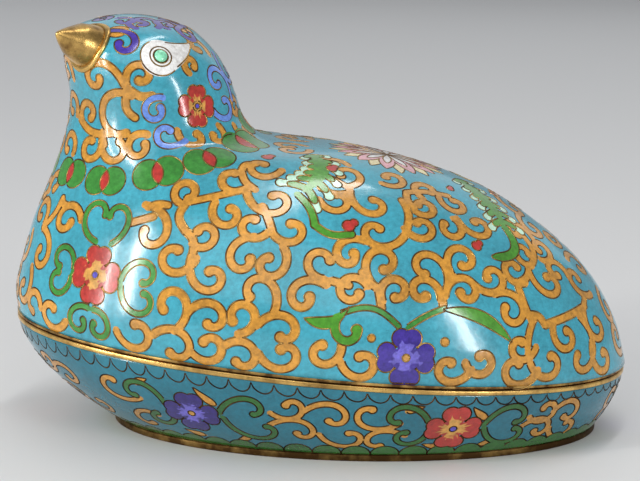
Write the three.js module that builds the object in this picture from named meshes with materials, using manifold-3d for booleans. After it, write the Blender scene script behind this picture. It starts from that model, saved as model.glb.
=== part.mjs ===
// A cloisonne enamel box in the shape of a sitting quail. The lid is the bird's back, breast and
// head, the base is a shallow tray. Millimetres, +Z up, the bird's breast towards -X, its left
// side towards -Y, and the box rests on its foot rim at z = 0.
import * as THREE from 'three';
import { mergeVertices } from 'three/addons/utils/BufferGeometryUtils.js';
import Module from 'manifold-3d';

const wasm = await Module();
wasm.setup();
const { Manifold, Mesh } = wasm;

// --- driving dimensions -------------------------------------------------------------------
const RIM_HALF_LENGTH = 73.5;   // plan of the opening: an ellipse along X
const RIM_HALF_WIDTH = 46;
const SEAM_HEIGHT = 21.4;       // seam between lid and base, above the table at x = 0
const SEAM_SLOPE = 0.0717;      // the seam climbs towards the breast by this much per mm
const FOOT_HALF_LENGTH = 58.6;  // plan of the foot, a smaller ellipse set back from the breast
const FOOT_HALF_WIDTH = 35;
const FOOT_BACK = 8.6;
const WALL = 2.2;               // copper with enamel on both faces
const GAP = 0.3;                // left between pieces that touch
const HEAD_TURN = 49.7;         // degrees that the beak is turned to the bird's left
const EYE_SPREAD = 62.5;        // degrees from the beak to each eye

// Rim bands, as [inset from the rim ellipse, height over the seam] round each section.
const LID_RIM_SECTION = [[0, 0.15], [1.9, 0.15], [1.9, 0.8], [0, 0.8]];
const BASE_RIM_SECTION = [[0, -0.15], [0, -1.3], [3.5, -1.3], [3.5, 2.5], [2.6, 2.5], [2.6, -0.15]];
const LID_EDGE = 1.1;           // the enamelled shells start this far over and under the seam
const BASE_EDGE = 1.6;
const FOOT_RIM_WIDTH = 2.6;
const FOOT_RIM_HEIGHT = 1.3;
const UNDERSIDE = FOOT_RIM_HEIGHT + GAP;
const BOWL_POWER = 1.6;         // how fully the base's side swells between foot and seam
const BASE_UNDER_RIM = 0.3;     // the base's side starts this far inside the rim's outline
const BASE_FLOOR_UP = 0.14;     // share of the side's height at which its inner floor begins

// The lid as a pile of rings. Each ring runs from a point on the front profile to one on the
// back profile: [front x, front z, back x, back z, half width], from the mouth to the crown.
const STATIONS = [
  [-73.4, 27.8, 73.8, 17.2, 45.9],
  [-73.8, 33.0, 70.9, 27.0, 46.3],
  [-71.9, 41.0, 64.4, 38.0, 44.6],
  [-69.6, 49.0, 54.4, 47.6, 40.8],
  [-67.0, 55.5, 41.0, 56.7, 35.6],
  [-64.8, 61.0, 26.0, 62.8, 30.2],
  [-63.1, 66.0, 9.5, 66.7, 25.6],
  [-61.9, 70.3, -6.0, 68.1, 22.5],
  [-61.2, 74.0, -15.0, 69.6, 20.8],
  [-60.9, 78.0, -19.4, 73.8, 20.1],
  [-61.2, 82.0, -21.4, 78.8, 20.1],
  [-62.1, 86.6, -23.4, 84.2, 20.2],
  [-62.2, 91.2, -27.4, 90.2, 18.8],
  [-58.6, 95.5, -33.6, 95.2, 13.6],
  [-46.5, 97.9, -46.5, 97.9, 0],
];

// Points round a ring, and rings from mouth to pole on the faces of each shell.
const AROUND = 60;
const LID_OUTER_RINGS = 22;
const LID_INNER_RINGS = 15;
const BASE_OUTER_RINGS = 6;
const BASE_INNER_RINGS = 5;

// Beak and eyes: how far up the lid they sit (0 mouth, 1 crown), and their sizes.
const BEAK_UP = 0.852;
const BEAK_RADIUS = 5.3;
const BEAK_REACH = new THREE.Vector3(-5.8, -6.4, 2.7);
const BEAK_ROOT = 2.5;          // the cone starts this far inside the head before it is trimmed
const BEAK_RINGS = [[0.35, 0.7], [0.7, 0.37], [0.93, 0.16]];   // share of the reach, of the radius
const COLLAR_INNER = BEAK_RADIUS + GAP + 0.1;
const COLLAR_OUTER = 6.4;
const COLLAR_PROUD = 0.9;
const COLLAR_CUT_HEIGHT = 4;   // half height of the tube that the collar is trimmed from
const EYE_UP = 0.833;
const EYE_RADIUS = 1.5;
const EYE_PROUD = 0.75;
const SOCKET_DEPTH = 0.9;

const TAU = 2 * Math.PI;
const rad = THREE.MathUtils.degToRad;

// --- the lid's surface --------------------------------------------------------------------

// Station positions along the lid, spaced by the mean step of the two profiles, with one
// station added past each end so that the curve leaves the mouth and the crown smoothly.
function lidKnots() {
  const rows = STATIONS.map((row) => [...row]);
  const places = [0];
  for (let i = 1; i < rows.length; i += 1) {
    const [a, b] = [rows[i - 1], rows[i]];
    const front = Math.hypot(b[0] - a[0], b[1] - a[1]);
    const back = Math.hypot(b[2] - a[2], b[3] - a[3]);
    places.push(places[i - 1] + (front + back) / 2);
  }
  const length = places[places.length - 1];
  const beyond = rows[rows.length - 2];
  const mirrored = [beyond[2], beyond[3], beyond[0], beyond[1], -beyond[4]];
  const below = rows[0].map((value, k) => 2 * value - rows[1][k]);
  return {
    rows: [below, ...rows, mirrored],
    places: [-places[1], ...places, 2 * length - places[places.length - 2]],
    length,
  };
}

const KNOTS = lidKnots();

// A cubic through the stations; the slope at each one is that of the chord past it.
function stationAt(up) {
  const { rows, places, length } = KNOTS;
  const s = Math.min(Math.max(up, 0), 1) * length;
  let i = 1;
  while (i < rows.length - 3 && s > places[i + 1]) i += 1;
  const h = places[i + 1] - places[i];
  const u = (s - places[i]) / h;
  const slope = (j, k) => (rows[j + 1][k] - rows[j - 1][k]) / (places[j + 1] - places[j - 1]);
  return rows[i].map((value, k) => (2 * u ** 3 - 3 * u ** 2 + 1) * value
    + (u ** 3 - 2 * u ** 2 + u) * h * slope(i, k)
    + (3 * u ** 2 - 2 * u ** 3) * rows[i + 1][k]
    + (u ** 3 - u ** 2) * h * slope(i + 1, k));
}

// A point of the lid's outer face: up 0 at the mouth to 1 at the crown, turn 0 at the breast,
// a quarter turn at the bird's left and half a turn at the tail.
function lidPoint(up, turn) {
  const [frontX, frontZ, backX, backZ, halfWidth] = stationAt(up);
  const along = (1 - Math.cos(turn)) / 2;
  return new THREE.Vector3(
    frontX + (backX - frontX) * along,
    -halfWidth * Math.sin(turn),
    frontZ + (backZ - frontZ) * along,
  );
}

function lidNormal(up, turn) {
  const step = 1e-3;
  const low = Math.max(up - step, 0);
  const high = Math.min(up + step, 1 - step);
  const rise = lidPoint(high, turn).sub(lidPoint(low, turn));
  const sweep = lidPoint(up, turn + step).sub(lidPoint(up, turn - step));
  return sweep.cross(rise).normalize();
}

function lidOffset(up, turn, distance) {
  return lidPoint(up, turn).addScaledVector(lidNormal(up, turn), distance);
}

// --- closed solids from rings -------------------------------------------------------------

function turns(count) {
  return Array.from({ length: count }, (_, k) => TAU * k / count);
}

// Triangles between neighbouring rings of equal count, as one strip of faces per pair.
function bandFaces(first, second, count) {
  const faces = [];
  for (let k = 0; k < count; k += 1) {
    const next = (k + 1) % count;
    faces.push([first + k, first + next, second + next], [first + k, second + next, second + k]);
  }
  return faces;
}

function solidOf(points, faces) {
  const geometry = new THREE.BufferGeometry();
  geometry.setAttribute('position', new THREE.Float32BufferAttribute(points.flatMap((p) => p.toArray()), 3));
  let volume = 0;
  for (const [a, b, c] of faces) volume += points[a].dot(points[b].clone().cross(points[c]));
  const outward = volume > 0 ? faces : faces.map(([a, b, c]) => [a, c, b]);
  geometry.setIndex(outward.flat());
  return geometry;
}

// A wall with two faces: rings of the outer face from its mouth to its pole, then the same of
// the inner face, joined by a flat edge at the mouth.
function shell(outerRings, outerPole, innerRings, innerPole) {
  const count = outerRings[0].length;
  const points = [...outerRings.flat(), outerPole];
  const innerStart = points.length;
  points.push(...innerRings.flat(), innerPole);
  const faces = [];
  const face = (start, rings, pole, inward) => {
    const side = [];
    for (let r = 0; r + 1 < rings.length; r += 1) {
      side.push(...bandFaces(start + r * count, start + (r + 1) * count, count));
    }
    const last = start + (rings.length - 1) * count;
    for (let k = 0; k < count; k += 1) side.push([last + k, last + (k + 1) % count, pole]);
    faces.push(...(inward ? side.map(([a, b, c]) => [a, c, b]) : side));
  };
  face(0, outerRings, innerStart - 1, false);
  face(innerStart, innerRings, points.length - 1, true);
  faces.push(...bandFaces(innerStart, 0, count));
  return solidOf(points, faces);
}

// A solid ring: a closed section, given as one ring of points per section corner.
function loopSolid(rings) {
  const count = rings[0].length;
  const faces = rings.flatMap((_, r) => bandFaces(r * count, ((r + 1) % rings.length) * count, count));
  return solidOf(rings.flat(), faces);
}

// --- booleans -----------------------------------------------------------------------------

function toManifold(geometry) {
  const bare = geometry.clone();
  bare.deleteAttribute('normal');
  bare.deleteAttribute('uv');
  const merged = mergeVertices(bare, 1e-4);
  return new Manifold(new Mesh({
    numProp: 3,
    vertProperties: new Float32Array(merged.attributes.position.array),
    triVerts: new Uint32Array(merged.index.array),
  }));
}

function fromManifold(solid) {
  const mesh = solid.getMesh();
  const geometry = new THREE.BufferGeometry();
  geometry.setAttribute('position', new THREE.Float32BufferAttribute(mesh.vertProperties, 3));
  geometry.setIndex(Array.from(mesh.triVerts));
  return geometry;
}

// A geometry made along +Y, stood on a point of the lid with +Y along the given direction.
function stood(geometry, point, direction) {
  const turn = new THREE.Quaternion().setFromUnitVectors(new THREE.Vector3(0, 1, 0), direction);
  return geometry.applyQuaternion(turn).translate(point.x, point.y, point.z);
}

// --- lid ----------------------------------------------------------------------------------

function seamHeight(x) {
  return SEAM_HEIGHT - SEAM_SLOPE * x;
}

function lidShellGeometry() {
  const outer = Array.from({ length: LID_OUTER_RINGS }, (_, r) => turns(AROUND)
    .map((turn) => lidPoint(r / LID_OUTER_RINGS, turn)));
  const inner = Array.from({ length: LID_INNER_RINGS }, (_, r) => turns(AROUND).map((turn) => {
    const point = lidOffset(r / LID_INNER_RINGS, turn, -WALL);
    if (r === 0) point.z = seamHeight(point.x) + LID_EDGE;
    return point;
  }));
  outer[0].forEach((point) => { point.z = seamHeight(point.x) + LID_EDGE; });
  const crown = lidPoint(1, 0);
  return shell(outer, crown, inner, new THREE.Vector3(crown.x, 0, crown.z - WALL));
}

// The whole bird above the seam as one solid, swollen by a distance, for trimming the beak.
function lidEnvelope(distance) {
  const rings = Array.from({ length: LID_OUTER_RINGS }, (_, r) => turns(AROUND)
    .map((turn) => lidOffset(r / LID_OUTER_RINGS, turn, distance)));
  const crown = lidPoint(1, 0);
  const points = [...rings.flat(), crown.clone().setZ(crown.z + distance), new THREE.Vector3(0, 0, 20)];
  const pole = points.length - 2;
  const faces = [];
  for (let r = 0; r + 1 < rings.length; r += 1) {
    faces.push(...bandFaces(r * AROUND, (r + 1) * AROUND, AROUND));
  }
  const last = (rings.length - 1) * AROUND;
  for (let k = 0; k < AROUND; k += 1) {
    const next = (k + 1) % AROUND;
    faces.push([last + k, last + next, pole], [next, k, pole + 1]);
  }
  return toManifold(solidOf(points, faces));
}

function eyePlace(side) {
  const turn = rad(HEAD_TURN + side * EYE_SPREAD);
  return { point: lidPoint(EYE_UP, turn), out: lidNormal(EYE_UP, turn) };
}

function eyeSocket(side) {
  const { point, out } = eyePlace(side);
  const cutter = new THREE.CylinderGeometry(EYE_RADIUS + GAP, EYE_RADIUS + GAP, 2 * SOCKET_DEPTH, 20);
  return toManifold(stood(cutter, point, out));
}

function lidGeometry() {
  let solid = toManifold(lidShellGeometry());
  for (const side of [-1, 1]) solid = solid.subtract(eyeSocket(side));
  return fromManifold(solid);
}

// A turquoise bead: a short stem in its socket under a low dome.
function eyeGeometry(side) {
  const { point, out } = eyePlace(side);
  const steps = 5;
  const profile = [new THREE.Vector2(0, GAP - SOCKET_DEPTH), new THREE.Vector2(EYE_RADIUS, GAP - SOCKET_DEPTH)];
  for (let k = 0; k <= steps; k += 1) {
    const lift = (Math.PI / 2) * k / steps;
    const radius = k === steps ? 0 : EYE_RADIUS * Math.cos(lift);
    profile.push(new THREE.Vector2(radius, EYE_PROUD * Math.sin(lift)));
  }
  return fromManifold(toManifold(stood(new THREE.LatheGeometry(profile, 16), point, out)));
}

// --- beak ---------------------------------------------------------------------------------

function beakPlace() {
  const turn = rad(HEAD_TURN);
  return { point: lidPoint(BEAK_UP, turn), out: lidNormal(BEAK_UP, turn) };
}

// A leaning cone: rings from a round root inside the head to a small blunt tip.
function beakGeometry() {
  const { point, out } = beakPlace();
  const across = new THREE.Vector3().crossVectors(out, new THREE.Vector3(0, 0, 1)).normalize();
  const upward = new THREE.Vector3().crossVectors(across, out).normalize();
  const count = 28;
  const ring = (centre, radius) => turns(count).map((turn) => centre.clone()
    .addScaledVector(across, radius * Math.cos(turn))
    .addScaledVector(upward, radius * Math.sin(turn)));
  const root = point.clone().addScaledVector(out, -BEAK_ROOT);
  const rings = [ring(root, BEAK_RADIUS), ring(point, BEAK_RADIUS)];
  for (const [share, fullness] of BEAK_RINGS) {
    rings.push(ring(point.clone().addScaledVector(BEAK_REACH, share), BEAK_RADIUS * fullness));
  }
  const points = [...rings.flat(), root, point.clone().add(BEAK_REACH)];
  const faces = [];
  for (let r = 0; r + 1 < rings.length; r += 1) faces.push(...bandFaces(r * count, (r + 1) * count, count));
  const last = (rings.length - 1) * count;
  for (let k = 0; k < count; k += 1) {
    const next = (k + 1) % count;
    faces.push([next, k, points.length - 2], [last + k, last + next, points.length - 1]);
  }
  return fromManifold(toManifold(solidOf(points, faces)).subtract(lidEnvelope(GAP)));
}

// The collar: a short tube round the beak's root, trimmed to a strip that follows the head.
function collarGeometry() {
  const { point, out } = beakPlace();
  const [low, high] = [-COLLAR_CUT_HEIGHT, COLLAR_CUT_HEIGHT];
  const corners = [[COLLAR_INNER, low], [COLLAR_OUTER, low], [COLLAR_OUTER, high], [COLLAR_INNER, high]];
  const profile = [...corners, corners[0]].map(([x, y]) => new THREE.Vector2(x, y));
  const tube = toManifold(stood(new THREE.LatheGeometry(profile, 28), point, out));
  return fromManifold(tube.intersect(lidEnvelope(COLLAR_PROUD + GAP)).subtract(lidEnvelope(GAP)));
}

// --- rims and base ------------------------------------------------------------------------

function rimGeometry(section) {
  return loopSolid(section.map(([inset, rise]) => turns(AROUND).map((turn) => {
    const x = -(RIM_HALF_LENGTH - inset) * Math.cos(turn);
    const y = -(RIM_HALF_WIDTH - inset) * Math.sin(turn);
    return new THREE.Vector3(x, y, seamHeight(x) + rise);
  })));
}

// A point of the base's side: up 0 at the foot to 1 under the seam, moved in by an inset.
function basePoint(up, turn, inset) {
  const swell = 1 - (1 - up) ** BOWL_POWER;
  const mix = (low, high) => low + (high - low) * swell;
  const x = mix(FOOT_BACK, 0) - (mix(FOOT_HALF_LENGTH, RIM_HALF_LENGTH - BASE_UNDER_RIM) - inset) * Math.cos(turn);
  const y = -(mix(FOOT_HALF_WIDTH, RIM_HALF_WIDTH - BASE_UNDER_RIM) - inset) * Math.sin(turn);
  return new THREE.Vector3(x, y, UNDERSIDE + (seamHeight(x) - BASE_EDGE - UNDERSIDE) * up);
}

function baseGeometry() {
  const outer = Array.from({ length: BASE_OUTER_RINGS + 1 }, (_, r) => turns(AROUND)
    .map((turn) => basePoint(1 - r / BASE_OUTER_RINGS, turn, 0)));
  const inner = Array.from({ length: BASE_INNER_RINGS + 1 }, (_, r) => turns(AROUND).map((turn) => {
    const up = 1 - (1 - BASE_FLOOR_UP) * r / BASE_INNER_RINGS;
    const point = basePoint(up, turn, WALL);
    if (r === BASE_INNER_RINGS) point.z = UNDERSIDE + WALL;
    return point;
  }));
  return shell(
    outer,
    new THREE.Vector3(FOOT_BACK, 0, UNDERSIDE),
    inner,
    new THREE.Vector3(FOOT_BACK, 0, UNDERSIDE + WALL),
  );
}

function footRimGeometry() {
  const section = [[0, 0], [FOOT_RIM_WIDTH, 0], [FOOT_RIM_WIDTH, FOOT_RIM_HEIGHT], [0, FOOT_RIM_HEIGHT]];
  return loopSolid(section.map(([inset, z]) => turns(AROUND).map((turn) => new THREE.Vector3(
    FOOT_BACK - (FOOT_HALF_LENGTH - inset) * Math.cos(turn),
    -(FOOT_HALF_WIDTH - inset) * Math.sin(turn),
    z,
  ))));
}

// --- the box ------------------------------------------------------------------------------

const enamel = new THREE.MeshStandardMaterial({ color: 0x3fa3b8, roughness: 0.18, metalness: 0 });
const gilt = new THREE.MeshStandardMaterial({ color: 0xc79a4b, roughness: 0.3, metalness: 1 });
const bead = new THREE.MeshStandardMaterial({ color: 0x8fdcb8, roughness: 0.25, metalness: 0 });

const box = new THREE.Group();

function add(name, geometry, material) {
  const mesh = new THREE.Mesh(geometry, material);
  mesh.name = name;
  box.add(mesh);
}

add('lid', lidGeometry(), enamel);
add('lid_rim', rimGeometry(LID_RIM_SECTION), gilt);
add('beak', beakGeometry(), gilt);
add('beak_collar', collarGeometry(), gilt);
add('eye_left', eyeGeometry(1), bead);
add('eye_right', eyeGeometry(-1), bead);
add('base', baseGeometry(), enamel);
add('base_rim', rimGeometry(BASE_RIM_SECTION), gilt);
add('foot_rim', footRimGeometry(), gilt);

export default box;
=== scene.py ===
"""A cloisonne enamel box in the shape of a quail: its enamel, gilt wires, rims, beak and stage."""
import math

import bpy
import numpy as np
from mathutils import Matrix, Vector


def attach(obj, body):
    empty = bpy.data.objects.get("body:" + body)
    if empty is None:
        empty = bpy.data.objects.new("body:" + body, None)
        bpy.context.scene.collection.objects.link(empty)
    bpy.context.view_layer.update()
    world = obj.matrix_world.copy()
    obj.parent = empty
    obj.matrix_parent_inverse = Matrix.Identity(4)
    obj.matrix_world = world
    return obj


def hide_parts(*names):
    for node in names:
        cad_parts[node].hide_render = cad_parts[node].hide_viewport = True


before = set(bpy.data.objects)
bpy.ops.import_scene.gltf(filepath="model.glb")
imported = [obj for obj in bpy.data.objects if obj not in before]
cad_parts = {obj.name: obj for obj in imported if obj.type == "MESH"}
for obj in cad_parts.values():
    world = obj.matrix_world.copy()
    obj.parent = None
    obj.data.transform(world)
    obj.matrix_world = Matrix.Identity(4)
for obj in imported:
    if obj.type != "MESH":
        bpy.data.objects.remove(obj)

bl_info = {
    "name": "Quail box dressing",
    "version": (1, 0, 0),
    "blender": (4, 5, 0),
    "location": "View3D > Sidebar > Quail box",
    "description": "Cloisonne enamel, gilt wires and fittings of a quail-shaped box",
    "category": "Object",
}

MM = 0.001
TAU = 2 * math.pi

# --- sizes that the solids share, in millimetres --------------------------------------------
RIM_HALF = (73.5, 46.0)        # half length and half width of the opening
SEAM_HEIGHT = 21.4             # seam over the table at x = 0
SEAM_SLOPE = 0.0717            # how much the seam climbs towards the breast, per mm
FOOT_HALF = (58.6, 35.0)
FOOT_BACK = 8.6
UNDERSIDE = 1.6                # underside of the base's floor, and the bowl's start
BOWL_POWER = 1.6
UNDER_RIM = 0.3                # the base's side starts this far inside the rim's outline
BOWL_TOP = 1.35                # the base's enamel ends this far under the seam
SKIN = 0.06                    # the enamel lies this far under the solid's face, and the wires rise to it
WALL = 2.2
MOUTH_RISE = 0.8               # the lid's enamel starts this far over the seam
HEAD_TURN = 49.7               # degrees from the breast to the beak, round the bird's left
EYE_SPREAD = 62.5              # degrees from the beak to each eye
HEAD_MIDDLE = -41.0            # x of the head's middle
HEAD_RADIUS = 20.0
BEAK_UP = 0.852
BEAK_RADIUS = 5.3
BEAK_REACH = np.array([-5.8, -6.4, 2.7])
EYE_UP = 0.833
EYE_RADIUS = 1.5
SOCKET = 0.3                   # width of the dark socket round each bead
EYE_RING = 2.6                 # radius of the gilt ring round it

# The lid as rings between its front and back profiles:
# front x, front z, back x, back z, half width, from the mouth to the crown.
STATIONS = np.array([
    (-73.4, 27.8, 73.8, 17.2, 45.9), (-73.8, 33.0, 70.9, 27.0, 46.3), (-71.9, 41.0, 64.4, 38.0, 44.6),
    (-69.6, 49.0, 54.4, 47.6, 40.8), (-67.0, 55.5, 41.0, 56.7, 35.6), (-64.8, 61.0, 26.0, 62.8, 30.2),
    (-63.1, 66.0, 9.5, 66.7, 25.6), (-61.9, 70.3, -6.0, 68.1, 22.5), (-61.2, 74.0, -15.0, 69.6, 20.8),
    (-60.9, 78.0, -19.4, 73.8, 20.1), (-61.2, 82.0, -21.4, 78.8, 20.1), (-62.1, 86.6, -23.4, 84.2, 20.2),
    (-62.2, 91.2, -27.4, 90.2, 18.8), (-58.6, 95.5, -33.6, 95.2, 13.6), (-46.5, 97.9, -46.5, 97.9, 0.0),
])


# --- the two enamelled surfaces --------------------------------------------------------------

LAST_UP = 0.995        # a search on a surface stops this short of its pole, where turns meet


def seam_height(x):
    """Height of the seam between lid and base: a plane that climbs towards the breast."""
    return SEAM_HEIGHT - SEAM_SLOPE * x


class Surface:
    """A surface given by point(up, turn): up from 0 to 1, turn in radians from the breast
    round the bird's left side."""

    def slopes(self, up, turn):
        """Change of the point with up and with turn, by central differences."""
        step = 1e-3
        low, high = np.clip(up - step, 0, 1), np.clip(up + step, 0, 1)
        rise = (self.point(high, turn) - self.point(low, turn)) / (high - low)[..., None]
        sweep = (self.point(up, turn + step) - self.point(up, turn - step)) / (2 * step)
        return rise, sweep

    def basis(self, up, turn):
        """Unit directions at a point: along the turn, up the surface, and outwards."""
        rise, sweep = self.slopes(up, turn)
        along = unit(sweep)
        out = unit(np.cross(sweep, rise))
        return along, np.cross(out, along), out

    def steps_for(self, move, up, turn):
        """Changes of up and turn that make a small move along the surface: the two slopes'
        shares of it, by least squares."""
        rise, sweep = self.slopes(up, turn)
        rr, ss, rs = dot(rise, rise), dot(sweep, sweep), dot(rise, sweep)
        rd, sd = dot(rise, move), dot(sweep, move)
        room = rr * ss - rs * rs
        return (rd * ss - sd * rs) / room, (sd * rr - rd * rs) / room

    def settle(self, points, up, turn, rounds=6):
        """Places (up, turn) under points near the surface, found by stepping from a guess."""
        for _ in range(rounds):
            up_step, turn_step = self.steps_for(points - self.point(up, turn), up, turn)
            up, turn = np.clip(up + up_step, 0, LAST_UP), turn + turn_step
        return up, turn

    def locate(self, point, near):
        """The place (turn in degrees, up) of one point, from a place near it."""
        up, turn = self.settle(point, np.array([near[1]]), np.array([math.radians(near[0])]))
        return math.degrees(turn[0]), up[0]

    def lie(self, points, place):
        """Points dropped on the surface round a place, with the outward directions there."""
        guess = np.full(len(points), place[1]), np.full(len(points), math.radians(place[0]))
        up, turn = self.settle(points, *guess, rounds=10)
        return self.point(up, turn), self.basis(up, turn)[2]

    def volutes(self, rows, even=3.0, steps=48):
        """Spirals on the surface. Each goes from its start round its eye by the swept angle.
        Its radius is the last one, plus a part from the even to the last that falls with the
        share of the way, plus a part from the start to the even that falls as its fifth power."""
        columns = (np.array(column, float)[:, None] for column in zip(*rows))
        turn, up, eye_turn, eye_up, swept, last = columns
        turn, eye_turn, swept = np.radians(turn), np.radians(eye_turn), np.radians(swept)
        eye = self.point(eye_up, eye_turn)
        along, upward, _ = self.basis(eye_up, eye_turn)
        offset = self.point(up, turn) - eye
        across, height = dot(offset, along), dot(offset, upward)
        first, bearing = np.hypot(across, height), np.arctan2(height, across)
        share = np.linspace(0, 1, steps + 1)[None]
        even = np.minimum(np.maximum(even, last * 1.12), np.maximum(first, last))
        radius = last + (even - last) * (1 - share) + (first - even) * (1 - share) ** 5
        angle = bearing + swept * share
        flat = eye + (radius * np.cos(angle))[..., None] * along
        flat = flat + (radius * np.sin(angle))[..., None] * upward
        guess = np.broadcast_to(eye_up, angle.shape), np.broadcast_to(eye_turn, angle.shape)
        return self.path(*self.settle(flat, *guess))

    def path(self, up, turn):
        """The points, outward and forward directions of paths through places."""
        points = self.point(up, turn)
        return points, self.basis(up, turn)[2], unit(np.gradient(points, axis=1))

    def links(self, rows, steps=24):
        """Arcs on the surface from one place (turn, up) to another, bowed to the left by the
        last value in mm as a half wave."""
        turn, up, end_turn, end_up, bow = (np.array(column, float)[:, None] for column in zip(*rows))
        turn, end_turn = np.radians(turn), np.radians(end_turn)
        share = np.linspace(0, 1, steps + 1)[None]
        at_up, at_turn = up + (end_up - up) * share, turn + (end_turn - turn) * share
        chord = self.point(at_up, at_turn)
        out = self.basis(at_up, at_turn)[2]
        side = unit(np.cross(out, np.gradient(chord, axis=1)))
        bowed = chord + (bow * np.sin(math.pi * share))[..., None] * side
        return self.path(*self.settle(bowed, at_up, at_turn))

    def walk(self, strokes, steps=36):
        """Paths walked over the surface in even steps. Each stroke has a start (turn, up), a
        heading from the along direction, a length, and a total turning to the left; returns
        points, outward and forward directions."""
        turn, up, heading, length, curl = (np.array(column, float) for column in zip(*strokes))
        turn, heading, curl = np.radians(turn), np.radians(heading), np.radians(curl)
        along, upward, out = self.basis(up, turn)
        forward = np.cos(heading)[:, None] * along + np.sin(heading)[:, None] * upward
        points, outs, forwards = [], [], []
        angle = (curl / steps)[:, None]
        for _ in range(steps + 1):
            points.append(self.point(up, turn))
            outs.append(out)
            forwards.append(forward)
            forward = np.cos(angle) * forward + np.sin(angle) * np.cross(out, forward)
            up_step, turn_step = self.steps_for(forward * (length / steps)[:, None], up, turn)
            up, turn = np.clip(up + up_step, 0, LAST_UP), turn + turn_step
            out = self.basis(up, turn)[2]
            forward = unit(forward - dot(forward, out)[:, None] * out)
        return np.stack(points, 1), np.stack(outs, 1), np.stack(forwards, 1)


class Lid(Surface):
    """The bird over the seam: flat rings between two profiles, each an ellipse whose half
    width is the station's. A cubic joins the stations, with the slope of the chord past each."""

    def __init__(self):
        rows = STATIONS
        front = np.hypot(*(rows[1:, 0:2] - rows[:-1, 0:2]).T)
        back = np.hypot(*(rows[1:, 2:4] - rows[:-1, 2:4]).T)
        places = np.r_[0, np.cumsum((front + back) / 2)]
        over = rows[-2]
        mirrored = np.array([over[2], over[3], over[0], over[1], -over[4]])
        self.rows = np.vstack([2 * rows[0] - rows[1], rows, mirrored])
        self.places = np.r_[-places[1], places, 2 * places[-1] - places[-2]]
        self.length = places[-1]

    def station(self, up):
        """The station's five values at a share of the way up, by the cubic."""
        s = np.clip(up, 0, 1) * self.length
        i = np.clip(np.searchsorted(self.places, s, side="right") - 1, 1, len(self.places) - 3)
        rows, places = self.rows, self.places
        h = (places[i + 1] - places[i])[..., None]
        u = (s - places[i])[..., None] / h
        slope0 = (rows[i + 1] - rows[i - 1]) / (places[i + 1] - places[i - 1])[..., None]
        slope1 = (rows[i + 2] - rows[i]) / (places[i + 2] - places[i])[..., None]
        return ((2 * u ** 3 - 3 * u ** 2 + 1) * rows[i] + (u ** 3 - 2 * u ** 2 + u) * h * slope0
                + (3 * u ** 2 - 2 * u ** 3) * rows[i + 1] + (u ** 3 - u ** 2) * h * slope1)

    def point(self, up, turn):
        """The point of a ring at a turn, the ring lying flat between the two profiles."""
        row = self.station(np.asarray(up, float))
        along = (1 - np.cos(turn)) / 2
        x = row[..., 0] + (row[..., 2] - row[..., 0]) * along
        z = row[..., 1] + (row[..., 3] - row[..., 1]) * along
        return np.stack([x, -row[..., 4] * np.sin(turn), z], -1)


class Base(Surface):
    """The tray: ellipses that grow from the foot to the seam as 1 - (1 - up) ** power."""

    def point(self, up, turn):
        """The point of an ellipse at a turn, its height a share of the way to the seam."""
        up = np.asarray(up, float)
        swell = 1 - (1 - np.clip(up, 0, 1)) ** BOWL_POWER
        half = [foot + (rim - UNDER_RIM - foot) * swell for foot, rim in zip(FOOT_HALF, RIM_HALF)]
        x = FOOT_BACK * (1 - swell) - half[0] * np.cos(turn)
        z = UNDERSIDE + (seam_height(x) - BOWL_TOP - UNDERSIDE) * up
        return np.stack([x, -half[1] * np.sin(turn), z], -1)


def unit(vectors):
    """Vectors brought to length 1."""
    return vectors / np.maximum(np.linalg.norm(vectors, axis=-1, keepdims=True), 1e-12)


def dot(a, b):
    """Scalar products along the last axis."""
    return np.einsum("...i,...i->...", a, b)


LID = Lid()
BASE = Base()


# --- the enamel's pattern --------------------------------------------------------------------

# Enamels from the lowest to the topmost: a wire is dropped where a later enamel covers it.
# The last two stand for bare wires and for the black round the eyes.
ENAMELS = ["ochre", "green", "mint", "leaf", "sky", "cream", "pink", "red", "indigo", "lilac", "amber",
           "violet", "white", "gold", "dark"]
FIELD_REACH = 2.5      # mm past which a colour's distance field is held even
SAME_GAP = -0.16       # a wire ends this deep in a cell of its own enamel, mm
LATER_GAP = -0.05      # and this deep in a cell of a later one


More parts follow.
